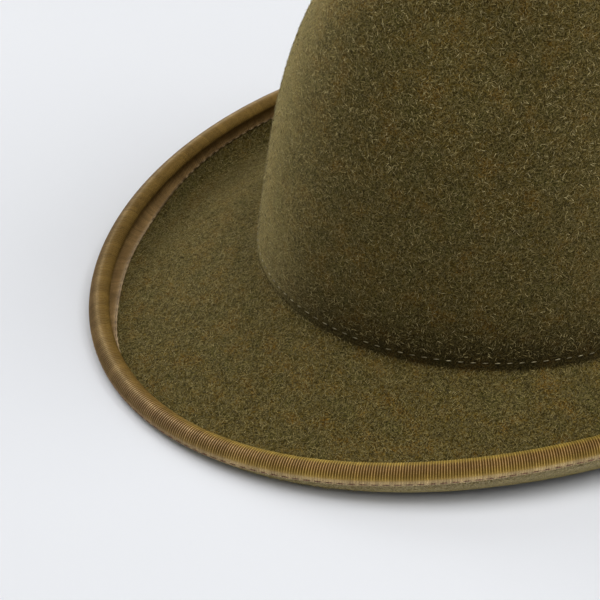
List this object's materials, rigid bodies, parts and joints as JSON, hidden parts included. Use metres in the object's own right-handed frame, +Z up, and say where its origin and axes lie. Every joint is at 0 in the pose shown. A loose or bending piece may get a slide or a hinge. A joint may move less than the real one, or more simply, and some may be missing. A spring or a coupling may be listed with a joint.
{
  "type": "felt hat",
  "caption": "Wool felt hat with a tall creased crown, a drooping brim and a curled edge bound with ribbed ribbon.",
  "frame": {"origin": "centre of the brim's outline, on the surface that the brim rests on", "axes": "+Z up through the crown, the hat's front faces -Y, its sides face +X and -X"},
  "size_m": [0.267, 0.344, 0.1753],
  "materials": {
    "felt": "matt mottled olive wool felt with a short nap",
    "ribbon": "ribbed olive brown ribbon with a soft sheen",
    "band": "plain dark ribbed cloth"
  },
  "bodies": {
    "root": {"felt_body": "felt", "ribbon_binding": "ribbon", "inner_band": "band"}
  },
  "joints": []
}
